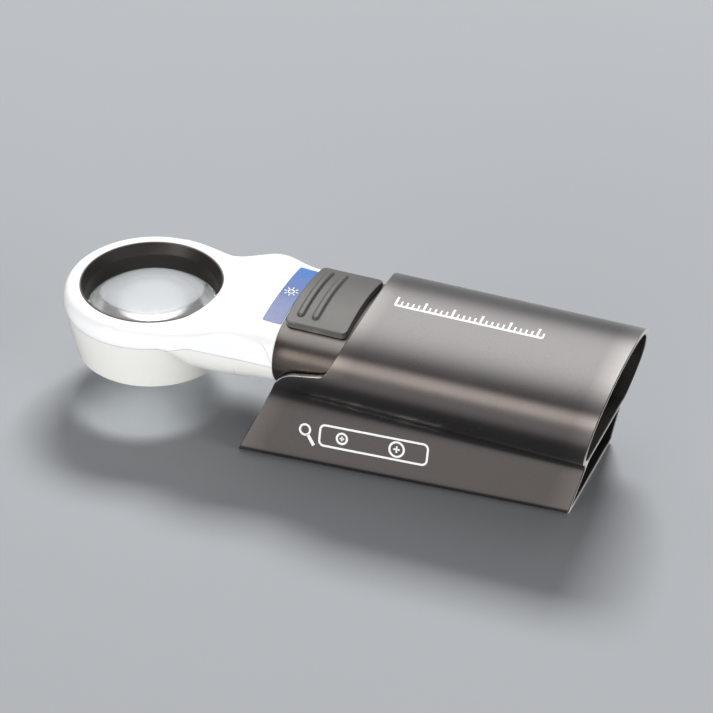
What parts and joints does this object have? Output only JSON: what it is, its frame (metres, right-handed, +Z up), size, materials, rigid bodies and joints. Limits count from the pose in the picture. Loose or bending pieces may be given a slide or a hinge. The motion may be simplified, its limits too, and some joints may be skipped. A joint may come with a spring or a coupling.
{
  "type": "viewing loupe",
  "caption": "Illuminated hand magnifier with a white ring head and flat battery handle, pushed into a flared metal sleeve stand that holds the lens above the work.",
  "frame": {"origin": "centre of the stand's resting face on the table", "axes": "+X along the handle towards its butt, +Y to the left of someone looking from the head to the butt, +Z up"},
  "size_m": [0.1544, 0.0464, 0.0438],
  "materials": {
    "stand_metal": "bronze-black anodised, satin",
    "white_shell": "soft gloss white",
    "cream_shell": "soft gloss off-white",
    "black_ring": "satin black",
    "clear_lens": "polished",
    "clear_window": "clear moulded",
    "circuit_board": "green solder mask",
    "lamp": "phosphor dome",
    "wire_red": "wire sleeve",
    "wire_black": "wire sleeve",
    "steel": "plated steel",
    "blue_label": "printed film",
    "handle_satin": "satin bronze-grey",
    "slider_satin": "satin bronze-grey",
    "contact_brass": "plated",
    "resistor_body": "lacquered",
    "cell_wrap": "plain film wrap"
  },
  "bodies": {
    "stand": {"stand_sleeve": "stand_metal"},
    "magnifier": {"head_upper_shell": "white_shell", "head_lower_shell": "cream_shell", "lens_ring": "black_ring", "lens": "clear_lens", "light_window": "clear_window", "led_board": "circuit_board", "led_lamp": "lamp", "led_wire_positive": "wire_red", "led_wire_negative": "wire_black", "neck_screws": "steel", "function_label": "blue_label", "handle_upper_shell": "handle_satin", "handle_lower_shell": "handle_satin", "switch_pads": "contact_brass", "switch_board": "circuit_board", "drive_resistor": "resistor_body", "battery_cell_left": "cell_wrap", "battery_cell_middle": "cell_wrap", "battery_cell_right": "cell_wrap", "front_contact_positive": "steel", "front_contact_bridge": "steel", "front_spring": "steel", "negative_rail": "contact_brass"},
    "switch": {"switch_slider": "slider_satin", "switch_bridge_contact": "contact_brass"},
    "cover": {"battery_cover": "handle_satin", "rear_contact_bridge": "steel", "rear_contact_negative": "steel", "rear_springs": "steel"}
  },
  "joints": [
    {"name": "magnifier_slide", "type": "slide", "parent": "stand", "child": "magnifier", "axis": [-1, 0, 0], "range_m": [0, 0.07]},
    {"name": "switch_slide", "type": "slide", "parent": "magnifier", "child": "switch", "axis": [-1, 0, 0], "range_m": [0, 0.004]},
    {"name": "cover_slide", "type": "slide", "parent": "magnifier", "child": "cover", "axis": [1, 0, 0], "range_m": [0, 0.012]}
  ]
}
